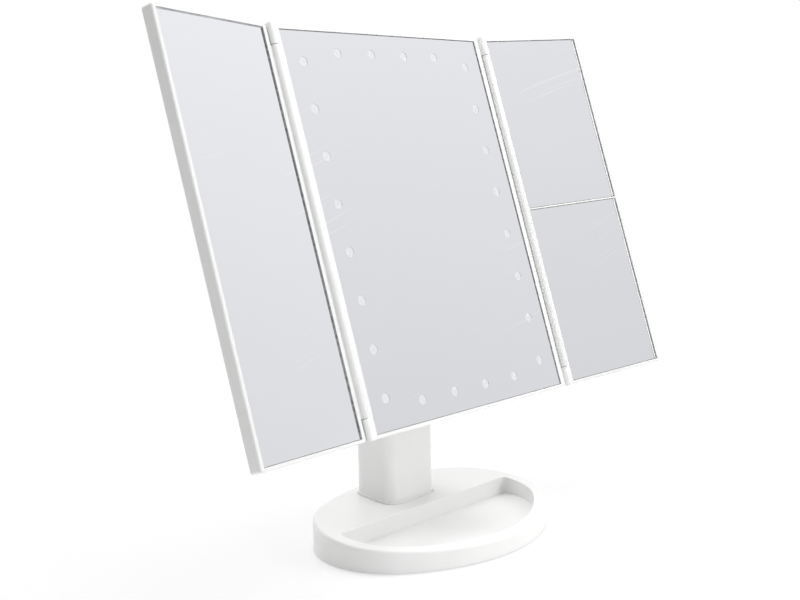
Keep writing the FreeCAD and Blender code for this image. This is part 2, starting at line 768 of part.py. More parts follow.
def batteryDoor():
    """Curved panel in the column's back, with hooks at the bottom and a ribbed thumb grip."""
    body = newBody("battery_door")
    low = "doorLow + doorPlay"
    add(body, low, "doorHigh - doorPlay", bowedBlock("0"))
    cut(body, low, "doorHigh", bowedBlock("doorWall"))
    room = "2 * columnWidth"
    front = "columnBack - doorWall - columnBow"
    cut(body, low, "doorHigh", rectangle(f"-{room}", f"-{room}", room, front))
    for side in (-1, 1):
        edges = outward(side, "doorHalf", room)
        cut(body, low, "doorHigh", rectangle(edges[0], "columnY", edges[1], room))
    inside = "columnBack - hookSet"
    hooks = [f"({side}) * hookX" for side in (-1, 1)]
    for x in hooks:
        add(body, low, f"{low} + hookThick", rectangle(f"{x} - hookHalf", inside, f"{x} + hookHalf",
                                                       "columnBack - doorWall / 2"))
        add(body, f"{low} - hookDrop", f"{low} + hookThick / 2",
            rectangle(f"{x} - hookHalf", inside, f"{x} + hookHalf", f"{inside} + hookThick"))
    grooves = [centred("gripWidth / 2", "gripPitch / 4", "0", f"doorHigh - ({k}) * gripPitch")
               for k in (2, 3, 4, 5)]
    cut(body, "columnBack - gripDeep", "2 * columnBack", *grooves, role="XZ_Plane")
    keep(body)


def powerInlet():
    """Small board with the charging socket, and the wires between inlet, cells and tilt joint."""
    board = newBody("power_board")
    back = "columnBack - columnWall - doorPlay"
    add(board, "columnFloor + inletPost", "inletLevel",
        rectangle("-inletBoardHalf", f"{back} - inletBoardDeep", "inletBoardHalf", back))
    keep(board)
    socket = newBody("usb_socket")
    mouth = "columnBack - inletSkin"
    middle = "inletLevel + inletTall / 2"
    add(socket, f"{mouth} - inletDeep", mouth,
        centred("inletHalf", "inletTall / 2", "0", middle), role="XZ_Plane")
    cut(socket, f"{mouth} - inletDeep + inletSkin", mouth,
        centred("inletHalf - inletSkin", "inletTall / 2 - inletSkin", "0", middle), role="XZ_Plane")
    tongue = "inletTall / 2 - 2 * inletSkin"
    add(socket, f"{mouth} - inletDeep", f"{mouth} - 3 * inletSkin",
        centred("inletHalf - 3 * inletSkin", f"({tongue}) / 2", "0", middle), role="XZ_Plane")
    keep(socket)
    lead = rod("wireRadius", "holderLow - inletLevel", "-inletBoardHalf / 2", "cellY", "inletLevel")
    lead.Label = "power_lead"
    keep(lead)
    axis = Vector(0, value("axisY"), value("axisHeight"))
    points = [Vector(0, axis.y, value("holderHigh")), axis, axis + Vector(value("leadMeet"), 0, 0)]
    keep(tube("column_lead", points, value("leadRadius"), 2 * value("leadBend")))


# --- centre panel --------------------------------------------------------------------------

ledSpots = [(f"({side}) * ledColumnX", f"{k - 3.5} * columnPitch") for side in (-1, 1) for k in range(8)]
ledSpots += [(f"{k - 1.5} * rowPitch", f"({end}) * ledRowY") for end in (-1, 1) for k in range(4)]
coverScrewSpots = [(f"({side}) * bossX", f"({row}) * bossY") for side in (-1, 1) for row in (-1, 0, 1)]
bracketScrewSpots = [(f"({side}) * bracketScrewX", f"({end}) * bracketScrewY - tiltDrop")
                     for side in (-1, 1) for end in (-1, 1)]
controlPosts = [(f"({side}) * controlWidth * 0.4", f"-touchY + ({end}) * controlHeight * 0.35")
                for side in (-1, 1) for end in (-1, 1)]


def centreFrame():
    """White surround of the lit mirror, with the end knuckles of both wing hinges."""
    body = newBody("centre_frame")
    sideWall = "axisX - hingeGap"
    sideLip = "axisX - notch"
    add(body, "-frameBack", "notchLevel", centred(sideWall, "frameHalf"))
    add(body, "notchLevel", "lipHeight", centred(sideLip, "frameHalf"))
    roundEdges(body, "frameRound", lambda edge: near(edge.BoundBox.ZMin, "lipHeight")
               and runsAlong(edge, 0))
    for end in (-1, 1):
        low, high = outward(end, "frameHalf - knuckleLength", "frameHalf")
        webs = [rectangle(*outwardRectangle(side, f"{sideLip} - skirtWall", sideWall))
                for side in (-1, 1)]
        add(body, low, high, *webs, role="XZ_Plane")
        knuckles = [circle(f"({side}) * axisX", "hingeLift", "barrelRadius") for side in (-1, 1)]
        add(body, low, high, *knuckles, role="XZ_Plane")
        bores = [circle(f"({side}) * axisX", "hingeLift", "pinRadius + pinSeat") for side in (-1, 1)]
        cut(body, low, high, *bores, role="XZ_Plane")
    cut(body, "pocketLevel", "lipHeight",
        centred("centreWidth / 2 + glassPlay", "mirrorHeight / 2 + glassPlay"))
    cut(body, "-frameBack", "floorLevel",
        centred(f"{sideWall} - skirtWall", "frameHalf - skirtWall"))
    cut(body, "floorLevel", "pocketLevel", *[circle(x, y, "ledHole") for x, y in ledSpots],
        circle("0", "-touchY", "stemRadius + stemPlay"))
    add(body, "postLevel", "pocketLevel - floorThick / 2",
        *[circle(x, y, "bossRadius") for x, y in coverScrewSpots])
    add(body, "controlLevel", "pocketLevel - floorThick / 2",
        *[circle(x, y, "bossRadius") for x, y in controlPosts])
    cut(body, "postLevel", "floorLevel", *[circle(x, y, "screwShank") for x, y in coverScrewSpots])
    keep(body, panelPlace)


def outwardRectangle(side, start, end):
    """Web between a frame and its barrel, from the notch floor to the frame's lip."""
    left, right = outward(side, start, end)
    return left, "notchLevel", right, "lipHeight"


def glass(label, low, high, left, right, placement):
    """Mirror plate between two heights and two sides of its pocket."""
    body = newBody(label)
    add(body, "-glassThick", "0", rectangle(left, low, right, high))
    keep(body, placement)


def tapes(label, panes, placement):
    """Two upright strips of foam tape behind each pane, given as (left, right, low, high)."""
    strips = []
    for left, right, low, high in panes:
        for x in (f"{left} + tapeSide", f"{right} - tapeSide"):
            strips.append(block("tapeWidth", f"({high}) - ({low}) - 2 * tapeEnd", "tapeThick",
                                x, f"(({low}) + ({high})) / 2", "pocketLevel"))
    keep(gathered(label, strips), placement)


def centreLights():
    """Ring-shaped board with its lights, the touch electrode and the control board."""
    board = newBody("led_board")
    thick = ("floorLevel - boardThick", "floorLevel")
    add(board, *thick, centred("ledColumnX + boardStrip / 2", "ledRowY + boardStrip / 2"),
        centred("ledColumnX - boardStrip / 2", "ledRowY - boardStrip / 2"))
    keep(board, panelPlace)
    lights = []
    for x, y in ledSpots:
        lights.append(block("ledLong", "ledWide", "ledTall", x, y, "floorLevel"))
    keep(gathered("leds", lights), panelPlace)
    pad = newBody("touch_pad")
    add(pad, "pocketLevel", "-glassThick", circle("0", "-touchY", "touchRadius"))
    add(pad, "controlLevel", "pocketLevel", circle("0", "-touchY", "stemRadius"))
    keep(pad, panelPlace)
    control = newBody("control_board")
    low = "controlLevel - boardThick"
    add(control, low, "controlLevel",
        centred("controlWidth / 2", "controlHeight / 2", "0", "-touchY"))
    chips = [centred(f"controlWidth * {size}", f"controlHeight * {size * 2}",
                     f"controlWidth * {x}", "-touchY")
             for x, size in ((-0.3, 0.06), (0.02, 0.09), (0.25, 0.05))]
    add(control, f"{low} - chipTall", low, *chips)
    keep(control, panelPlace)


def rearCover():
    """Shallow dish that closes the back of the centre panel."""
    body = newBody("rear_cover")
    halfX = "(axisX - hingeGap - coverInset)"
    halfY = "(frameHalf - coverInset)"
    add(body, "coverLevel", "-frameBack", centred(halfX, halfY))
    roundEdges(body, "coverCorner", lambda edge: runsAlong(edge, 2))
    roundEdges(body, "coverRound", lambda edge: near(edge.BoundBox.ZMax, "coverLevel"))
    cut(body, "coverInside", "-frameBack", centred(f"{halfX} - coverWall", f"{halfY} - coverWall"))
    lipX = "(axisX - hingeGap - skirtWall - lipPlay)"
    lipY = "(frameHalf - skirtWall - lipPlay)"
    add(body, "-frameBack - coverWall", "-frameBack + coverLip", centred(lipX, lipY),
        centred(f"{lipX} - coverLip", f"{lipY} - coverLip"))
    add(body, "coverLevel + coverWall / 2", "postLevel",
        *[circle(x, y, "postRadius") for x, y in coverScrewSpots])
    cut(body, "coverLevel", "coverLevel + screwHeadTall + screwPlay",
        *[circle(x, y, "screwHead + screwPlay") for x, y in coverScrewSpots])
    cut(body, "coverLevel", "postLevel",
        *[circle(x, y, "screwShank + screwPlay") for x, y in coverScrewSpots])
    cut(body, "coverLevel", "coverInside", circle("leadX", "-tiltDrop", "leadHole"),
        *[circle(x, y, "screwShank + screwPlay") for x, y in bracketScrewSpots])
    keep(body, panelPlace)
    screws = [screw(x, y, "coverLevel + screwPlay") for x, y in coverScrewSpots]
    keep(gathered("cover_screws", screws), panelPlace)


def hingePins():
    """Four steel pins, fixed in the knuckles and free in the wings' barrels."""
    pins = []
    upright = Rotation(Vector(1, 0, 0), -90)
    for side in (-1, 1):
        for start in ("frameHalf - pinEnd - pinLength", "-(frameHalf - pinEnd)"):
            pin = rod("pinRadius", "pinLength", "0", "0", "0")
            pins.append(moved(pin, f"({side}) * axisX", start, "hingeLift", upright))
    keep(gathered("hinge_pins", pins), panelPlace)


# --- tilt joint ----------------------------------------------------------------------------

def tiltBracket():
    """Plate with two ears on the back of the panel; the column's drum sits between the ears."""
    body = newBody("tilt_bracket")
    add(body, "bracketLevel", "coverLevel",
        centred("bracketWidth / 2", "bracketHeight / 2", "0", "-tiltDrop"))
    roundEdges(body, "bracketRound", lambda edge: runsAlong(edge, 2))
    for side in (-1, 1):
        inner, outer = outward(side, "earNear", "earFar")
        arm = rectangle("-tiltDrop - earRadius", "-tiltBack", "-tiltDrop + earRadius",
                        "coverLevel - bracketPlate / 2")
        add(body, inner, outer, arm, role="YZ_Plane")
        add(body, inner, outer, circle("-tiltDrop", "-tiltBack", "earRadius"), role="YZ_Plane")
        cut(body, inner, outer, circle("-tiltDrop", "-tiltBack", "sleeveRadius"), role="YZ_Plane")
    cut(body, "-tiltBack", "coverLevel", circle("leadX", "-tiltDrop", "leadHole"))
    cut(body, "bracketLevel + screwPlay", "coverLevel",
        *[circle(x, y, "screwShank") for x, y in bracketScrewSpots])
    keep(body, panelPlace)
    outwards = Rotation(Vector(1, 0, 0), 180)
    screws = [screw(x, y, "coverInside + screwHeadTall", outwards,
                    "coverWall + bracketPlate - 2 * screwPlay") for x, y in bracketScrewSpots]
    keep(gathered("bracket_screws", screws), panelPlace)


def tiltPivot():
    """Hollow flanged sleeves pressed in the ears, friction washers, caps and the panel's lead."""
    flangeFar = "drumHalf - drumWall - flangeGap"
    flangeNear = f"{flangeFar} - sleeveFlangeThick"
    sleeveEnd = "earNear + sleeveReach"
    sleeve = [(flangeNear, "sleeveBore"), (sleeveEnd, "sleeveBore"), (sleeveEnd, "sleeveRadius"),
              (flangeFar, "sleeveRadius"), (flangeFar, "sleeveFlange"), (flangeNear, "sleeveFlange")]
    washerNear = "drumHalf + (earGap - washerThick) / 2"
    washerFar = f"{washerNear} + washerThick"
    bore = "sleeveRadius + sleevePlay"
    washer = [(washerNear, bore), (washerFar, bore), (washerFar, "washerRadius"),
              (washerNear, "washerRadius")]
    cap = [("earFar - capPlug", "0"), ("earFar + capThick", "0"), ("earFar + capThick", "capFlange"),
           ("earFar", "capFlange"), ("earFar", "sleeveRadius"), ("earFar - capPlug", "sleeveRadius")]
    onPanel = f"{panelPlace} * placement(vector(0; -tiltDrop; -tiltBack); rotation(vector(1; 0; 0); 0))"
    onStand = "placement(vector(0; axisY; axisHeight); rotation(vector(1; 0; 0); 0))"
    for label, corners, placement in (("pivot_sleeves", sleeve, onPanel), ("pivot_caps", cap, onPanel),
                                      ("friction_washers", washer, onStand)):
        right = turned(f"{label}Right", corners)
        left = doc.addObject("Part::Mirroring", f"{label}Left")
        left.Source = right
        left.Normal = Vector(1, 0, 0)
        keep(gathered(label, [right, left]), placement)
    start = Vector(value("leadMeet + flangeGap"), -value("tiltDrop"), -value("tiltBack"))
    turnAt = Vector(value("leadX"), start.y, start.z)
    inside = Vector(turnAt.x, start.y, value("coverInside + coverWall"))
    down = Vector(turnAt.x, value("-touchY + controlHeight / 4"), inside.z)
    end = Vector(down.x, down.y, value("controlLevel - boardThick"))
    bend = value("min(leadBend; leadX - leadMeet - 2 * flangeGap)")
    lead = tube("panel_lead", [start, turnAt, inside, down, end], value("leadRadius"), bend)
    keep(lead, panelPlace)


# --- wings ---------------------------------------------------------------------------------

def wing(side, name, paneCount):
    """One folding wing: frame with its long hinge barrel, glass, tape and back plate."""
    placement = wingPlace(side)
    body = newBody(f"{name}_frame")

    def across(start, end, halfHeight):
        left, right = outward(side, start, end)
        return rectangle(left, f"-({halfHeight})", right, halfHeight)

    add(body, "-frameBack", "notchLevel", across("hingeGap", "wingEdge", "frameHalf"))
    add(body, "notchLevel", "lipHeight", across("notch", "wingEdge", "frameHalf"))
    roundEdges(body, "cornerRound", lambda edge: runsAlong(edge, 2)
               and near(abs(edge.BoundBox.XMax), "wingEdge"))
    roundEdges(body, "frameRound", lambda edge: (near(edge.BoundBox.ZMin, "lipHeight")
               or near(edge.BoundBox.ZMax, "-frameBack")) and not hingeEdge(edge))
    web = outwardRectangle(side, "hingeGap", "notch + skirtWall")
    add(body, "-barrelHalf", "barrelHalf", rectangle(*web), role="XZ_Plane")
    add(body, "-barrelHalf", "barrelHalf", circle("0", "hingeLift", "barrelRadius"), role="XZ_Plane")
    depth = "barrelHalf - (pinLength + pinEnd - knuckleLength)"
    for end in (-1, 1):
        low, high = outward(end, depth, "barrelHalf")
        cut(body, low, high, circle("0", "hingeLift", "pinRadius + pinPlay"), role="XZ_Plane")
    left, right = outward(side, "wingReach", "wingReach + wingWidth")
    paneHeight = f"(mirrorHeight - {paneCount - 1} * dividerWidth) / {paneCount}"
    panes = []
    for k in range(paneCount):
        low = f"(-mirrorHeight / 2 + {k} * ({paneHeight} + dividerWidth))"
        panes.append((left, right, low, f"({low} + {paneHeight})"))
    for left, right, low, high in panes:
        cut(body, "pocketLevel", "lipHeight",
            rectangle(f"{left} - glassPlay", f"{low} - glassPlay", f"{right} + glassPlay",
                      f"{high} + glassPlay"))
    cut(body, "-frameBack", "floorLevel",
        across("hingeGap + skirtWall", "wingEdge - skirtWall", "frameHalf - skirtWall"))
    middle = f"({side}) * (wingReach + wingWidth / 2)"
    studs = [circle(f"{middle} + ({x}) * wingWidth * 0.35", f"({y}) * mirrorHeight * 0.4", "bossRadius")
             for x in (-1, 1) for y in (-1, 0, 1)]
    add(body, "plateLevel", "pocketLevel - floorThick / 2", *studs)
    keep(body, placement)
    labels = [f"{name}_mirror"] if paneCount == 1 else [f"{name}_mirror_lower", f"{name}_mirror_upper"]
    for label, (left, right, low, high) in zip(labels, panes):
        glass(label, low, high, left, right, placement)
    tapes(f"{name}_tape", panes, placement)
    back = newBody(f"{name}_back")
    add(back, "-frameBack", "plateLevel",
        across("hingeGap + skirtWall + glassPlay", "wingEdge - skirtWall - glassPlay",
               "frameHalf - skirtWall - glassPlay"))
    keep(back, placement)


def hingeEdge(edge):
    """True for an edge on the hinge side of a wing, or one that runs along its hinge axis there."""
    return abs(edge.BoundBox.Center.x) < value("wingReach")


# --- assembly ------------------------------------------------------------------------------

baseShell()
baseUnderside()
columnShell()
columnHead()
batteries()
batteryDoor()
powerInlet()
centreFrame()
half = "centreWidth / 2"
glass("centre_mirror", "-mirrorHeight / 2", "mirrorHeight / 2", f"-{half}", half, panelPlace)
tapes("centre_tape", [(f"-{half}", half, "-mirrorHeight / 2", "mirrorHeight / 2")], panelPlace)
centreLights()
rearCover()
hingePins()
tiltBracket()
tiltPivot()
wing(-1, "left", 1)
wing(1, "right", 2)
doc.recompute()

broken = [item.Label for item in doc.Objects if {"Invalid", "Error"} & set(item.State)]
broken += [label for label, item in pieces.items() if item.Shape.isNull() or not item.Shape.isValid()]
if broken:
    raise SystemExit(f"these objects failed: {sorted(set(broken))}")
for label, item in pieces.items():
    item.Shape.exportStep(f"parts/{label}.step")
    print(f"{label}: {len(item.Shape.Solids)} solid(s), {item.Shape.Volume / 1000:.2f} cm3")
print(f"{len(pieces)} pieces")
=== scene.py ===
import bpy
import bmesh
import json
import math
from mathutils import Matrix, Vector


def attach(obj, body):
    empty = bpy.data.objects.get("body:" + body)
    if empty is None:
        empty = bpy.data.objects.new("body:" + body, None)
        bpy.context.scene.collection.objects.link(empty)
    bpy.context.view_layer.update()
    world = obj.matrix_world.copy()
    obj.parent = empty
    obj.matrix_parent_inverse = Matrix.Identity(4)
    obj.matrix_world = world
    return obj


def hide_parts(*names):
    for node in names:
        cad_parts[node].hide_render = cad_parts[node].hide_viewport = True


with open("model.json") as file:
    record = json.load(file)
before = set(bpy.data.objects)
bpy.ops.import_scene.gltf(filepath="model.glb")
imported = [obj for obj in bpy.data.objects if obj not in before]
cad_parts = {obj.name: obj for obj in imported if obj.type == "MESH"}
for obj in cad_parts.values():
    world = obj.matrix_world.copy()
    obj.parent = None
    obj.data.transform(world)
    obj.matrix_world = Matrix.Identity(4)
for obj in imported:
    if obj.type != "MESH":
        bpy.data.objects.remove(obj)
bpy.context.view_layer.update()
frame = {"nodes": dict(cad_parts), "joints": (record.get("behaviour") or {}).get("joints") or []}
nodes = frame["nodes"]
print("frame loaded:", len(nodes), "pieces")

mm = 0.001


# Shader maths as plain expressions: wire * 2 + other adds the Math nodes.
class Wire:
    def __init__(self, shader, socket):
        self.shader = shader
        self.socket = socket

    def maths(self, operation, *values):
        return self.shader.node("Math", {"operation": operation}, dict(enumerate(values)))

    def __add__(self, other):
        return self.maths("ADD", self, other)

    def __radd__(self, other):
        return self.maths("ADD", other, self)

    def __sub__(self, other):
        return self.maths("SUBTRACT", self, other)

    def __rsub__(self, other):
        return self.maths("SUBTRACT", other, self)

    def __mul__(self, other):
        return self.maths("MULTIPLY", self, other)

    def __rmul__(self, other):
        return self.maths("MULTIPLY", other, self)

    def clamp(self, low=0.0, high=1.0):
        return self.maths("MINIMUM", self.maths("MAXIMUM", self, low), high)

    def smooth(self, low, high):
        settings = {"interpolation_type": "SMOOTHSTEP"}
        values = {"Value": self, "From Min": low, "From Max": high}
        return self.shader.node("MapRange", settings, values)


class Shader:
    def __init__(self, owner):
        owner.use_nodes = True
        self.tree = owner.node_tree
        self.tree.nodes.clear()

    def node(self, kind, settings=None, values=None, out=0):
        made = self.tree.nodes.new("ShaderNode" + kind)
        for name, setting in (settings or {}).items():
            setattr(made, name, setting)
        for name, value in (values or {}).items():
            self.feed(made, name, value)
        return Wire(self, made.outputs[out]) if made.outputs else None

    def feed(self, made, name, value):
        if isinstance(name, int):
            socket = made.inputs[name]
        else:
            found = [s for s in made.inputs if name in (s.name, s.identifier) and s.enabled]
            socket = found[0]
        if isinstance(value, Wire):
            self.tree.links.new(value.socket, socket)
        elif hasattr(value, "__len__") and socket.type == "RGBA":
            socket.default_value = (*value, 1.0)
        else:
            socket.default_value = value

    def mix(self, share, first, second):
        values = {"Factor_Float": share, "A_Color": first, "B_Color": second}
        return self.node("Mix", {"data_type": "RGBA"}, values, out=2)      # its colour result

    def noise(self, place, scale, detail=2.0, roughness=0.5, distortion=0.0):
        values = {"Vector": place, "Scale": scale, "Detail": detail, "Roughness": roughness,
                  "Distortion": distortion}
        return self.node("TexNoise", None, values)

    def dot(self, place, way):
        settings = {"operation": "DOT_PRODUCT"}
        return self.node("VectorMath", settings, {0: place, 1: way}, out="Value")

    def joined(self, *parts):
        return self.node("CombineXYZ", None, dict(enumerate(parts)))

    def stretched(self, place, factors):
        return self.node("Mapping", None, {"Vector": place, "Scale": factors})

    def bump(self, height, strength, distance):
        values = {"Height": height, "Strength": strength, "Distance": distance}
        return self.node("Bump", None, values)


def material(name, finish):
    made = bpy.data.materials.new(name)
    shader = Shader(made)
    place = shader.node("TexCoord", out="Object")
    bsdf = shader.node("BsdfPrincipled", None, finish(shader, place))
    shader.node("OutputMaterial", None, {"Surface": bsdf})
    return made


# Glossy moulded plastic: faint flow marks and specks in its colour, fine grain and shallow sinks
# in its face, and finger marks that dull the gloss a little.
whitePlastic = {
    "panel": {"colour": (0.905, 0.905, 0.90), "shade": (0.87, 0.87, 0.86), "gloss": 0.22},
    # The wings are the same plastic as the panel; their darker white is painted shade, which dims
    # their lit fronts and their shaded sides.
    "wings": {"colour": (0.865, 0.865, 0.86), "shade": (0.835, 0.835, 0.825), "gloss": 0.22},
    "stand": {"colour": (0.92, 0.92, 0.915), "shade": (0.885, 0.885, 0.875), "gloss": 0.2},
}
plasticMarks = {
    "flow": 14.0,          # how close each kind of mark lies, per metre
    "speck": 900.0,
    "grain": 2200.0,
    "sink": 45.0,
    "touch": 32.0,
    "touchDulls": 0.03,    # the roughness that a finger mark adds
    "grainShare": 0.04,    # of the relief; the sinks have the rest
    "relief": 0.4 * mm,
}


def plasticFinish(spec):
    marks = plasticMarks

    def finish(shader, place):
        flow = shader.noise(place, marks["flow"], 3.0, 0.55, 0.6).smooth(0.35, 0.75)
        speck = shader.noise(place, marks["speck"], 2.0, 0.6).smooth(0.7, 0.78)
        grain = shader.noise(place, marks["grain"], 2.0, 0.6)
        sink = shader.noise(place, marks["sink"], 1.0, 0.4)
        touch = shader.noise(place, marks["touch"], 4.0, 0.62, 0.8).smooth(0.5, 0.8)
        shaded = (flow * 0.8 + speck * 0.2).clamp()
        height = grain * marks["grainShare"] + sink * (1 - marks["grainShare"])
        return {
            "Base Color": shader.mix(shaded, spec["colour"], spec["shade"]),
            "Roughness": (spec["gloss"] + touch * marks["touchDulls"]).clamp(0.05, 0.9),
            "Normal": shader.bump(height, 0.05, marks["relief"]),
            "IOR": 1.46,
        }
    return finish


# Silvered glass: the silver's own tint, with fine wiping streaks across it and soft smears.
silver = {
    "colour": (0.885, 0.893, 0.925),
    "streak": (0.97, 0.97, 0.98),
    "roughness": 0.015,
    "along": (0.974, 0.067, 0.215),        # the way the cloth went
    "across": (-0.225, 0.290, 0.930),
    "sway": 7.0,                           # how often its strokes bend, per metre, and how far
    "swayReach": 0.034,
    "strokes": [                           # how close they lie, per metre, how few, how strong
        {"along": 8.0, "across": 470.0, "sparse": 0.69, "share": 0.6},
        {"along": 14.0, "across": 700.0, "sparse": 0.69, "share": 0.4},
    ],
    "smear": {"along": 14.0, "across": 70.0},
}


def silverFinish(shader, place):
    sway = shader.noise(place, silver["sway"], 1.0, 0.5)
    along = shader.dot(place, silver["along"])
    across = shader.dot(place, silver["across"]) + sway * silver["swayReach"]
    marks = 0.0
    for spec in silver["strokes"]:
        run = shader.joined(along * spec["along"], across * spec["across"], spec["across"])
        stroke = shader.noise(run, 1.0, 0.0).smooth(spec["sparse"], spec["sparse"] + 0.12)
        patch = shader.noise(place, 1.2 * spec["along"], 1.0).smooth(0.5, 0.66)
        marks = stroke * patch * spec["share"] + marks
    soft = silver["smear"]
    run = shader.joined(along * soft["along"], across * soft["across"], 3.0)
    smear = shader.noise(run, 1.0, 3.0, 0.6, 0.4).smooth(0.5, 0.8)
    whitened = (marks + smear * 0.12).clamp()
    return {
        "Base Color": shader.mix(whitened, silver["colour"], silver["streak"]),
        "Metallic": 1.0,
        "Roughness": (silver["roughness"] + marks * 0.1 + smear * 0.03).clamp(),
    }


# Cut or ground glass edge, with small chips of the lighter tone. Round the silver its greys are
# painted shade.
def edgeFinish(dark, light):
    def finish(shader, place):
        chips = shader.noise(place, 420.0, 3.0, 0.65).smooth(0.36, 0.64)
        return {"Base Color": shader.mix(chips, dark, light), "Roughness": 0.4}
    return finish


# Frosted spot in the silver, over a light.
def frostFinish(colour, other):
    def finish(shader, place):
        cloud = shader.noise(place, 900.0, 2.0)
        return {
            "Base Color": shader.mix(cloud, colour, other),
            "Metallic": 0.9,
            "Roughness": 0.4,
            "Normal": shader.bump(cloud, 0.2, 0.05 * mm),
        }
    return finish


# Bare or plated metal. Its brush marks lie closer along the axis that lay makes larger.
def metalFinish(colour, roughness, lay=(1.0, 1.0, 12.0)):
    def finish(shader, place):
        brushed = shader.noise(shader.stretched(place, lay), 420.0, 3.0, 0.6)
        cloud = shader.noise(place, 60.0, 2.0).smooth(0.3, 0.7)
        dull = tuple(channel * 0.82 for channel in colour)
        return {
            "Base Color": shader.mix(cloud, colour, dull),
            "Metallic": 1.0,
            "Roughness": (roughness + brushed * 0.16).clamp(),
            "Normal": shader.bump(brushed, 0.15, 0.05 * mm),
        }
    return finish


# Rubber, foam, nylon, wraps and lenses: a cloudy colour over a grain of the given fineness.
def softFinish(colour, other, roughness, grainScale, depth):
    def finish(shader, place):
        cloud = shader.noise(place, 90.0, 3.0, 0.6)
        grain = shader.noise(place, grainScale, 2.0, 0.65)
        return {
            "Base Color": shader.mix(cloud.smooth(0.3, 0.75), colour, other),
            "Roughness": (roughness + cloud * 0.12).clamp(),
            "Normal": shader.bump(grain, 0.3, depth),
        }
    return finish


# Circuit boards: white solder mask with copper tracks that show through it.
board = {
    "mask": (0.80, 0.83, 0.78),
    "maskPale": (0.86, 0.88, 0.85),
    "track": (0.55, 0.62, 0.50),
    "tracks": 180.0,           # per metre
    "trackWide": 0.04,
}


def boardFinish(shader, place):
    tracks = {"Vector": place, "Color1": board["mask"], "Color2": board["maskPale"],
              "Mortar": board["track"], "Scale": board["tracks"], "Mortar Size": board["trackWide"]}
    cloud = shader.noise(place, 300.0, 2.0)
    return {
        "Base Color": shader.node("TexBrick", {"offset": 0.5, "squash": 0.7}, tracks),
        "Roughness": 0.35 + cloud * 0.15,
        "Normal": shader.bump(cloud, 0.1, 0.05 * mm),
    }


finishes = {
    "whitePanel": plasticFinish(whitePlastic["panel"]),
    "shadedWhiteWings": plasticFinish(whitePlastic["wings"]),
    "whiteStand": plasticFinish(whitePlastic["stand"]),
    "silvering": silverFinish,
    # Painted shade for the glass edges round the silver, with real chips in them: the first for
    # their face and side walls; the second, darker, for the top and bottom walls of the centre and
    # the right wing and for the right wing's outer edge; the third, paler, for the left wing's top
    # and bottom walls.
    "shadedCutEdge": edgeFinish((0.17, 0.18, 0.18), (0.38, 0.39, 0.39)),
    "deepShadeEdge": edgeFinish((0.12, 0.13, 0.13), (0.26, 0.27, 0.27)),
    "paleShadeEdge": edgeFinish((0.50, 0.51, 0.51), (0.70, 0.71, 0.71)),
    "paleBevel": edgeFinish((0.84, 0.84, 0.835), (0.90, 0.90, 0.895)),
    "frostedWindow": frostFinish((0.925, 0.93, 0.95), (0.95, 0.955, 0.97)),
    "lightHint": frostFinish((0.89, 0.89, 0.90), (0.92, 0.92, 0.925)),
    "windowWall": edgeFinish((0.60, 0.61, 0.61), (0.70, 0.71, 0.71)),
    "zincSteel": metalFinish((0.66, 0.66, 0.65), 0.28),
    "nickel": metalFinish((0.74, 0.72, 0.68), 0.16),
    "castWeight": metalFinish((0.42, 0.42, 0.43), 0.5, (1.0, 1.0, 1.0)),
    "barePad": metalFinish((0.80, 0.60, 0.42), 0.25),
    "cellWrap": softFinish((0.10, 0.10, 0.11), (0.16, 0.16, 0.17), 0.3, 700.0, 0.05 * mm),
    "feetRubber": softFinish((0.62, 0.62, 0.61), (0.52, 0.52, 0.51), 0.7, 1500.0, 0.2 * mm),
    "foamTape": softFinish((0.80, 0.80, 0.77), (0.72, 0.72, 0.69), 0.85, 2200.0, 0.3 * mm),
    "blackNylon": softFinish((0.03, 0.03, 0.03), (0.05, 0.05, 0.05), 0.42, 1200.0, 0.1 * mm),
    "leadJacket": softFinish((0.04, 0.04, 0.04), (0.07, 0.07, 0.07), 0.5, 900.0, 0.1 * mm),
    "boardMask": boardFinish,
    "ledLens": softFinish((0.93, 0.92, 0.80), (0.88, 0.86, 0.70), 0.3, 800.0, 0.05 * mm),
}
materials = {name: material(name, finish) for name, finish in finishes.items()}
print("materials:", len(materials))

dressed = {
    "whitePanel": ["centre_frame", "rear_cover", "tilt_bracket", "pivot_caps"],
    "shadedWhiteWings": ["left_frame", "left_back", "right_frame", "right_back"],
    "whiteStand": ["base_shell", "base_plate", "column_shell", "column_head", "battery_door"],
    "zincSteel": ["base_screws", "column_screws", "head_screws", "cover_screws", "bracket_screws",
                  "hinge_pins", "pivot_sleeves"],
    "nickel": ["contact_springs", "contact_plates", "usb_socket"],
    "castWeight": ["base_weight"],
    "barePad": ["touch_pad"],
    "cellWrap": ["aa_cells"],
    "feetRubber": ["rubber_feet"],
    "foamTape": ["centre_tape", "left_tape", "right_tape"],
    "blackNylon": ["battery_holder", "friction_washers"],
    "leadJacket": ["power_lead", "column_lead", "panel_lead"],
    "boardMask": ["led_board", "control_board", "power_board"],
    "ledLens": ["leds"],
    "silvering": ["centre_mirror", "left_mirror", "right_mirror_upper", "right_mirror_lower"],
}
for name, members in dressed.items():
    for member in members:
        slots = nodes[member].data.materials
        slots.clear()
        slots.append(materials[name])
print("dressed:", sum(len(members) for members in dressed.values()), "nodes")

# Where the panel and its wings stand, from the frame's own joints: x across, y up the glass,
# z out of the glass, with z = 0 on the level of the hinge axes.
joints = {joint["name"]: joint for joint in frame["joints"]}
panelLean = -math.radians(joints["tilt"]["range_deg"][0])
hinge = {side: Vector(joints[side + "_fold"]["pos_m"]) for side in ("left", "right")}
panelTurn = Matrix.Rotation(math.pi / 2 - panelLean, 4, "X")
panelPlace = Matrix.Translation((hinge["left"] + hinge["right"]) / 2) @ panelTurn


def wingPlace(side):
    fold = -math.radians(joints[side + "_fold"]["range_deg"][0])
    turn = Matrix.Rotation(fold if side == "left" else -fold, 4, "Y")
    return Matrix.Translation(hinge[side]) @ panelTurn @ turn


def pointsIn(place, node):
    inward = place.inverted()
    return [inward @ vertex.co for vertex in nodes[node].data.vertices]


def spans(points):
    return [(min(axis), max(axis)) for axis in zip(*points)]
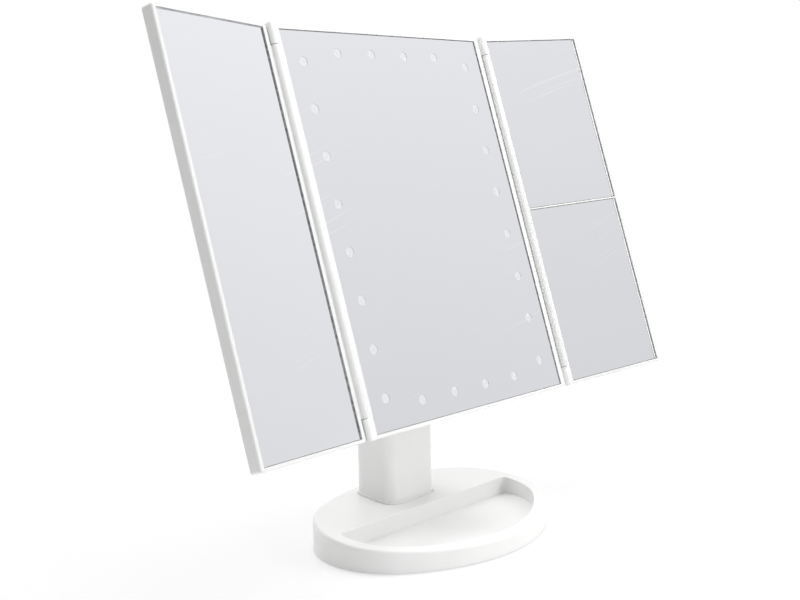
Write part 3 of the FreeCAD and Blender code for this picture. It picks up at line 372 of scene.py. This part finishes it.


# A mirror pane as it looks through its glass: the silver sunk under the face, the cut edges round
# it in greys that are painted shade, and clear windows in the silver over the lights. Depths are
# under the face of the glass.
pane = {
    "faceDepth": 0.1 * mm,
    "edgeWide": 0.14 * mm,
    "bevelWide": 0.85 * mm,        # pale ground strip down the right wing's outer edge
    "bevelDepth": 0.2 * mm,
    "bevelEdge": 1.0 * mm,         # the dark edge outside that strip, painted shade
    "windowRadius": 2.8 * mm,
    "windowDepth": 0.7 * mm,
    "windowShift": (-0.8 * mm, -0.2 * mm),     # off the lights, as seen through thick glass
    "windowSides": 40,
    "hintRadius": 1.0 * mm,        # the light itself, faint behind its window
    "lightReach": 6 * mm,          # points nearer than this belong to one light
}
paneFinishes = ["silvering", "shadedCutEdge", "deepShadeEdge", "paleShadeEdge", "paleBevel", "frostedWindow",
                "lightHint", "windowWall"]


# The middle of each separate light, from the frame's own lights.
def lightSpots():
    groups = []
    for point in pointsIn(panelPlace, "leds"):
        near = (group for group in groups if (group[0] - point).length < pane["lightReach"])
        group = next(near, None)
        if group:
            group.append(point)
        else:
            groups.append([point])
    return [[sum(span) / 2 for span in spans(group)[:2]] for group in groups]


def corners(left, right, low, high):
    return [(left, low), (right, low), (right, high), (left, high)]


def ringPoints(x, y, radius):
    turns = [2 * math.pi * k / pane["windowSides"] for k in range(pane["windowSides"])]
    return [(x + radius * math.cos(turn), y + radius * math.sin(turn)) for turn in turns]


def addLoop(curve, points):
    spline = curve.splines.new("POLY")
    spline.points.add(len(points) - 1)
    for point, (x, y) in zip(spline.points, points):
        point.co = (x, y, 0, 1)
    spline.use_cyclic_u = True


# A flat slab between two levels: the first loop is its outline, the others are holes in it.
def slabMesh(loops, low, high, place):
    curve = bpy.data.curves.new("outline", "CURVE")
    curve.dimensions = "2D"
    curve.fill_mode = "BOTH"
    curve.extrude = (high - low) / 2
    for points in loops:
        addLoop(curve, points)
    holder = bpy.data.objects.new("outline", curve)
    mesh = bpy.data.meshes.new_from_object(holder)
    mesh.transform(place @ Matrix.Translation((0, 0, (low + high) / 2)))
    bpy.data.objects.remove(holder)
    bpy.data.curves.remove(curve)
    return mesh


# The slabs of one pane. Each has its loops, its front level and the finish of its face; its side
# walls and end walls have that finish too, unless they name their own.
def paneSlabs(size, silverDepth, endWallShade, spots, bevelled):
    (left, right), (low, high), (back, face) = size
    inset = pane["edgeWide"]
    start, bottom, top = left + inset, low + inset, high - inset
    end = right - (pane["bevelEdge"] if bevelled else inset)
    silverEnd = end - (pane["bevelWide"] if bevelled else 0.0)
    shiftX, shiftY = pane["windowShift"]
    middles = [(x + shiftX, y + shiftY) for x, y in spots]
    windows = [ringPoints(x, y, pane["windowRadius"]) for x, y in middles]
    hints = [ringPoints(x, y, pane["hintRadius"]) for x, y in middles]
    silvered = {
        "loops": [corners(start, silverEnd, bottom, top)] + windows,
        "front": face - silverDepth,
        "face": "silvering",
        "side": "windowWall",
        "end": "windowWall",
    }
    # The glass edge round the silver: its face and walls are painted shade, its top and bottom
    # walls in the shade given for that pane.
    rim = {
        "loops": [corners(left, right, low, high), corners(start, end, bottom, top)],
        "front": face - pane["faceDepth"],
        "face": "deepShadeEdge" if bevelled else "shadedCutEdge",
        "side": "shadedCutEdge",
        "end": endWallShade,
    }
    slabs = [silvered, rim]
    if bevelled:
        strip = corners(silverEnd, end, bottom, top)
        slabs.append({"loops": [strip], "front": face - pane["bevelDepth"], "face": "paleBevel"})
    windowLevel = face - pane["windowDepth"]
    for window, hint in zip(windows, hints):
        slabs.append({"loops": [window, hint], "front": windowLevel, "face": "frostedWindow"})
        slabs.append({"loops": [hint], "front": windowLevel, "face": "lightHint"})
    return slabs


def slabFinish(slab, normal, facing, upward):
    if abs(normal.dot(facing)) > 0.5:
        return slab["face"]
    wall = "end" if abs(normal.dot(upward)) > 0.9 else "side"
    return slab.get(wall, slab["face"])


def paneMesh(name, slabs, back, place):
    facing, upward = (place.to_3x3() @ Vector(axis) for axis in ((0, 0, 1), (0, 1, 0)))
    built = bmesh.new()
    for slab in slabs:
        mesh = slabMesh(slab["loops"], back, slab["front"], place)
        start = len(built.faces)
        built.from_mesh(mesh)
        built.faces.ensure_lookup_table()
        for surface in built.faces[start:]:
            surface.normal_update()
            finish = slabFinish(slab, surface.normal, facing, upward)
            surface.material_index = paneFinishes.index(finish)
        bpy.data.meshes.remove(mesh)
    data = bpy.data.meshes.new(name)
    built.to_mesh(data)
    built.free()
    for finish in paneFinishes:
        data.materials.append(materials[finish])
    return data


def addPane(name, node, body, place, silverDepth, endWallShade, spots=(), bevelled=False):
    size = spans(pointsIn(place, node))
    slabs = paneSlabs(size, silverDepth, endWallShade, spots, bevelled)
    back = size[2][0]              # the lowest z of the glass
    piece = bpy.data.objects.new(name, paneMesh(name, slabs, back, place))
    bpy.context.scene.collection.objects.link(piece)
    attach(piece, body)
    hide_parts(node)


leftPlace, rightPlace = wingPlace("left"), wingPlace("right")
# The finish after each depth is the painted shade of that pane's top and bottom glass edges.
addPane("centreSilver", "centre_mirror", "panel", panelPlace, 0.48 * mm, "deepShadeEdge", lightSpots())
addPane("leftSilver", "left_mirror", "left_wing", leftPlace, 0.74 * mm, "paleShadeEdge")
for half in ("Lower", "Upper"):
    addPane("rightSilver" + half, "right_mirror_" + half.lower(), "right_wing", rightPlace,
            0.5 * mm, "deepShadeEdge", bevelled=True)
print("mirror panes made")

# Moulded edges: the plastic shells listed here get their small tool radius, in mm.
softened = {
    "centre_frame": 0.3, "left_frame": 0.3, "right_frame": 0.3, "rear_cover": 0.4, "left_back": 0.3,
    "right_back": 0.3, "tilt_bracket": 0.4, "pivot_caps": 0.25, "base_plate": 0.4,
    "column_head": 0.3, "battery_door": 0.25,
}
softening = {
    "weld": 0.002 * mm,
    "flat": math.radians(0.4),     # faces within this become one flat side before the bevel
    "sharp": math.radians(40),
    "segments": 2,
}
for name, radius in softened.items():
    weld = nodes[name].modifiers.new("weld", "WELD")
    weld.merge_threshold = softening["weld"]
    flat = nodes[name].modifiers.new("flat", "DECIMATE")
    flat.decimate_type = "DISSOLVE"
    flat.angle_limit = softening["flat"]
    edge = nodes[name].modifiers.new("edge", "BEVEL")
    edge.width = radius * mm
    edge.segments = softening["segments"]
    edge.limit_method = "ANGLE"
    edge.angle_limit = softening["sharp"]
    edge.harden_normals = True
print("softened:", len(softened), "shells")

# Studio: white sweep, two big lights overhead, a key from the right front and weaker ones round it.
studio = {
    "floorHalf": 12.0,
    "floorColour": (0.93, 0.93, 0.93),
    "floorLift": 0.62,             # share of plain white in the floor beside the object
    "clearNear": 0.22,             # past here the floor fades to plain white
    "clearFar": 0.75,
    "ambient": 0.215,
    "ambientSide": (-0.14, 0.0, 0.0),
    "reflected": 0.99,             # the room as the mirrors see it, darker towards darkSide
    "reflectedLeast": 0.4,
    "darkSide": (0.157, -0.351, -0.185),
    "silverShare": 1.13,
    "horizonSoft": 0.12,           # up to here the sweep's white fades into the room
}
lamps = [
    {"name": "skyLamp", "place": (0.2, -0.5, 1.7), "size": 1.2, "power": 8.2},
    {"name": "topLamp", "place": (0.05, 0.35, 1.7), "size": 1.4, "power": 18.6},
    {"name": "keyLamp", "place": (0.95, -1.05, 1.15), "size": 1.1, "power": 12.8},
    {"name": "frontLamp", "place": (0.2, -1.7, 0.45), "size": 0.8, "power": 4.2},
    {"name": "backLamp", "place": (-0.2, 1.4, 1.2), "size": 1.0, "power": 6.5},
]


def addLamp(spec, target=(0.0, 0.0, 0.14)):
    data = bpy.data.lights.new(spec["name"], "AREA")
    data.size = spec["size"]
    data.energy = spec["power"]
    lamp = bpy.data.objects.new(spec["name"], data)
    aim = Vector(target) - Vector(spec["place"])
    lamp.location = spec["place"]
    lamp.rotation_euler = aim.to_track_quat("-Z", "Y").to_euler()
    lamp.visible_glossy = False
    bpy.context.scene.collection.objects.link(lamp)


# Two masks: rays from the camera itself, and rays from the camera, a gloss or clear glass.
def rayKinds(shader):
    rays = shader.node("LightPath").socket.node.outputs
    camera, glossy, clear = (Wire(shader, rays["Is " + kind + " Ray"])
                             for kind in ("Camera", "Glossy", "Transmission"))
    return camera, (camera + glossy + clear).clamp()


def sweepMaterial():
    made = bpy.data.materials.new("sweep")
    shader = Shader(made)
    direct = rayKinds(shader)[1]
    place = shader.node("TexCoord", out="Object")
    away = shader.node("VectorMath", {"operation": "LENGTH"}, {0: place}, out="Value")
    fade = away.smooth(studio["clearNear"], studio["clearFar"])
    lift = studio["floorLift"] + (1 - studio["floorLift"]) * fade
    lit = shader.node("BsdfDiffuse", None, {"Color": studio["floorColour"]})
    glow = shader.node("Emission", None, {"Color": (1.0, 1.0, 1.0), "Strength": 1.0})
    both = shader.node("MixShader", None, {0: direct * lift, 1: lit, 2: glow})
    shader.node("OutputMaterial", None, {"Surface": both})
    return made


def addFloor():
    reach = studio["floorHalf"]
    edges = [(x, y, 0) for x, y in corners(-reach, reach, -reach, reach)]
    data = bpy.data.meshes.new("floor")
    data.from_pydata(edges, [], [(0, 1, 2, 3)])
    data.materials.append(sweepMaterial())
    floor = bpy.data.objects.new("floor", data)
    bpy.context.scene.collection.objects.link(floor)


def setWorld():
    world = bpy.data.worlds.new("studio")
    bpy.context.scene.world = world
    shader = Shader(world)
    camera, direct = rayKinds(shader)
    direction = shader.node("TexCoord", out="Generated")
    toDark = shader.dot(direction, studio["darkSide"])
    room = (studio["reflected"] - toDark) * studio["silverShare"]
    room = room.clamp(studio["reflectedLeast"], 1.0)
    rise = shader.dot(direction, (0.0, 0.0, 1.0))
    seen = 1 - (1 - room) * rise.smooth(0.0, studio["horizonSoft"])
    light = studio["ambient"] + shader.dot(direction, studio["ambientSide"])
    strength = camera + (1 - camera) * (direct * seen + (1 - direct) * light)
    back = shader.node("Background", None, {"Color": (1.0, 1.0, 1.0), "Strength": strength})
    shader.node("OutputWorld", None, {"Surface": back})


for spec in lamps:
    addLamp(spec)
addFloor()
setWorld()
bpy.context.scene.view_settings.view_transform = "Standard"
print("studio set")

# Camera, worked out from the straight edges of the panel.
cameraSpec = {
    "place": (-0.50854, -0.45443, 0.23134),
    "yaw": math.radians(-46.599),
    "pitch": math.radians(-7.716),
    "roll": math.radians(-1.331),
    "lens": 53.853,
    "sensor": 36.0,
    "nearest": 0.01,
    "farthest": 100,
}


def addCamera():
    yaw, pitch, roll = (cameraSpec[name] for name in ("yaw", "pitch", "roll"))
    ahead = Vector((-math.sin(yaw) * math.cos(pitch), math.cos(yaw) * math.cos(pitch),
                    math.sin(pitch)))
    level = Vector((math.cos(yaw), math.sin(yaw), 0))
    above = level.cross(ahead)
    right = math.cos(roll) * level + math.sin(roll) * above
    up = math.cos(roll) * above - math.sin(roll) * level
    data = bpy.data.cameras.new("camera")
    data.lens = cameraSpec["lens"]
    data.sensor_width = cameraSpec["sensor"]
    data.clip_start = cameraSpec["nearest"]
    data.clip_end = cameraSpec["farthest"]
    camera = bpy.data.objects.new("camera", data)
    turn = Matrix((right, up, -ahead)).transposed().to_4x4()
    camera.matrix_world = Matrix.Translation(cameraSpec["place"]) @ turn
    bpy.context.scene.collection.objects.link(camera)
    bpy.context.scene.camera = camera


addCamera()
print("camera set")
